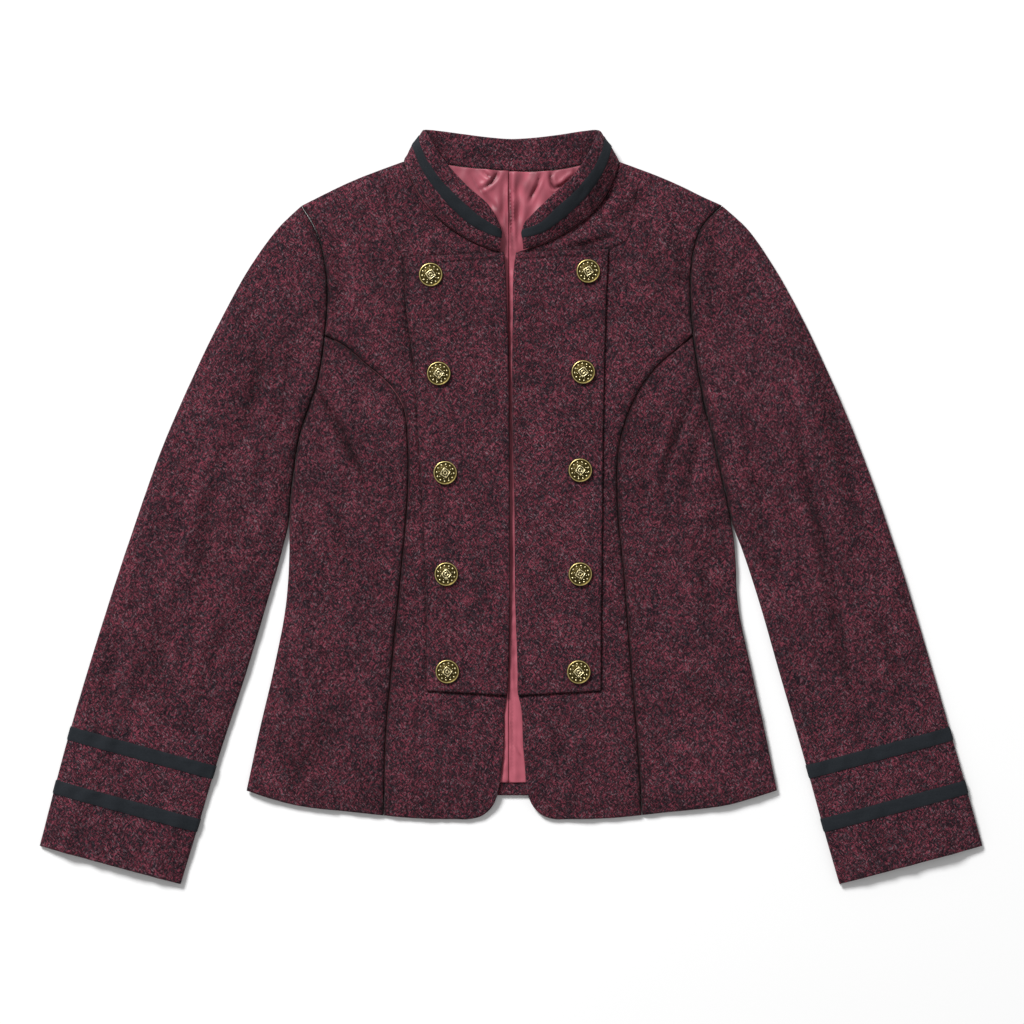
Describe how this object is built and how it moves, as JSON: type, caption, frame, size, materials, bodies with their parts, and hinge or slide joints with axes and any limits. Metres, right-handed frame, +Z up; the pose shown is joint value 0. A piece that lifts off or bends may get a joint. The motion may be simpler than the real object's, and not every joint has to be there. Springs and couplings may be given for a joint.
{
  "type": "napoleon jacket",
  "caption": "Short tailored tweed jacket laid flat, face up, with a stand collar, buttoned front panels, ribbon bands and an open centre front.",
  "frame": {"origin": "middle of the jacket's outline, on the surface that it lies on", "axes": "+Y towards the collar, +Z up out of the surface, +X towards the wearer's left sleeve"},
  "size_m": [0.8666, 0.6932, 0.0246],
  "materials": {
    "tweed": "fine burgundy and near-black tweed",
    "satin": "dusty rose satin lining",
    "grosgrain": "charcoal grosgrain ribbon",
    "brass": "antiqued"
  },
  "bodies": {
    "root": {"back": "tweed", "back_hem": "tweed", "front_right": "tweed", "front_left": "tweed", "side_front_right": "tweed", "side_front_left": "tweed", "bib_right": "tweed", "bib_left": "tweed", "sleeve_top_right": "tweed", "sleeve_top_left": "tweed", "sleeve_under_right": "tweed", "sleeve_under_left": "tweed", "collar": "tweed", "collar_ribbon": "grosgrain", "cuff_ribbon_lower_right": "grosgrain", "cuff_ribbon_lower_left": "grosgrain", "cuff_ribbon_upper_right": "grosgrain", "cuff_ribbon_upper_left": "grosgrain", "lining_back_right": "satin", "lining_back_left": "satin", "button_right_1": "brass", "button_right_2": "brass", "button_right_3": "brass", "button_right_4": "brass", "button_right_5": "brass", "button_left_1": "brass", "button_left_2": "brass", "button_left_3": "brass", "button_left_4": "brass", "button_left_5": "brass"}
  },
  "joints": []
}
